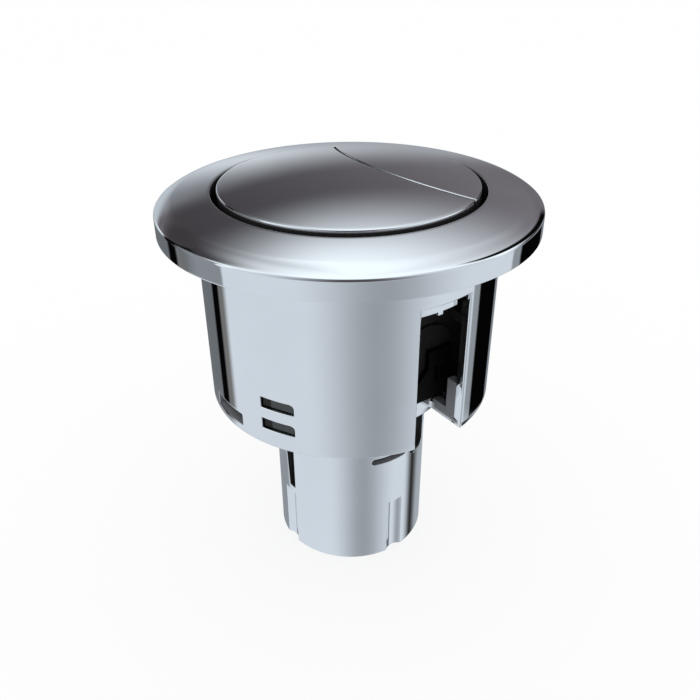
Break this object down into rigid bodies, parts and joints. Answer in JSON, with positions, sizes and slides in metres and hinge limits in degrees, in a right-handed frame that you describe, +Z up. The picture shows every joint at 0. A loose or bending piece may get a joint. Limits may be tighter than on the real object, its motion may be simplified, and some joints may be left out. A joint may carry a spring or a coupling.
{
  "type": "push button cistern actuator",
  "caption": "Round push button actuator for a cistern lid: domed chrome flange, split sprung buttons in a notched housing, and a keyed stem that takes the flush valve neck.",
  "frame": {"origin": "on the housing's axis, in the plane of the flange underside that lies on the cistern lid", "axes": "+Z up through the buttons, +X out of the housing's side notch, +Y to the small half-flush button"},
  "size_m": [0.073, 0.073, 0.0834],
  "materials": {
    "chrome": "bright chrome plating on moulded plastic",
    "black_plastic": "moulded, low sheen",
    "foam": "closed-cell foam",
    "rubber": "soft, dull",
    "steel": "bright wire and zinc-plated steel"
  },
  "bodies": {
    "casing": {"bezel": "chrome", "flange_gasket": "foam", "housing": "chrome", "stem": "chrome", "stem_washer": "rubber", "guide_hub": "black_plastic", "button_guide": "black_plastic", "notch_cover": "black_plastic", "floor_screws": "steel", "stop_pads": "rubber", "full_flush_spring": "steel", "half_flush_spring": "steel"},
    "full_flush": {"full_flush_button": "chrome", "full_flush_slider": "black_plastic", "full_flush_clip": "steel", "full_flush_rod": "black_plastic", "full_flush_rod_foot": "rubber"},
    "half_flush": {"half_flush_button": "chrome", "half_flush_slider": "black_plastic", "half_flush_clip": "steel", "half_flush_rod": "black_plastic", "half_flush_rod_foot": "rubber"}
  },
  "joints": [
    {"name": "full_flush_press", "type": "slide", "parent": "casing", "child": "full_flush", "axis": [0, 0, -1], "range_m": [0, 0.005], "stiffness_N_per_m": 700, "springref_m": -0.004, "deforming": ["full_flush_spring"]},
    {"name": "half_flush_press", "type": "slide", "parent": "casing", "child": "half_flush", "axis": [0, 0, -1], "range_m": [0, 0.005], "stiffness_N_per_m": 700, "springref_m": -0.004, "deforming": ["half_flush_spring"]}
  ]
}
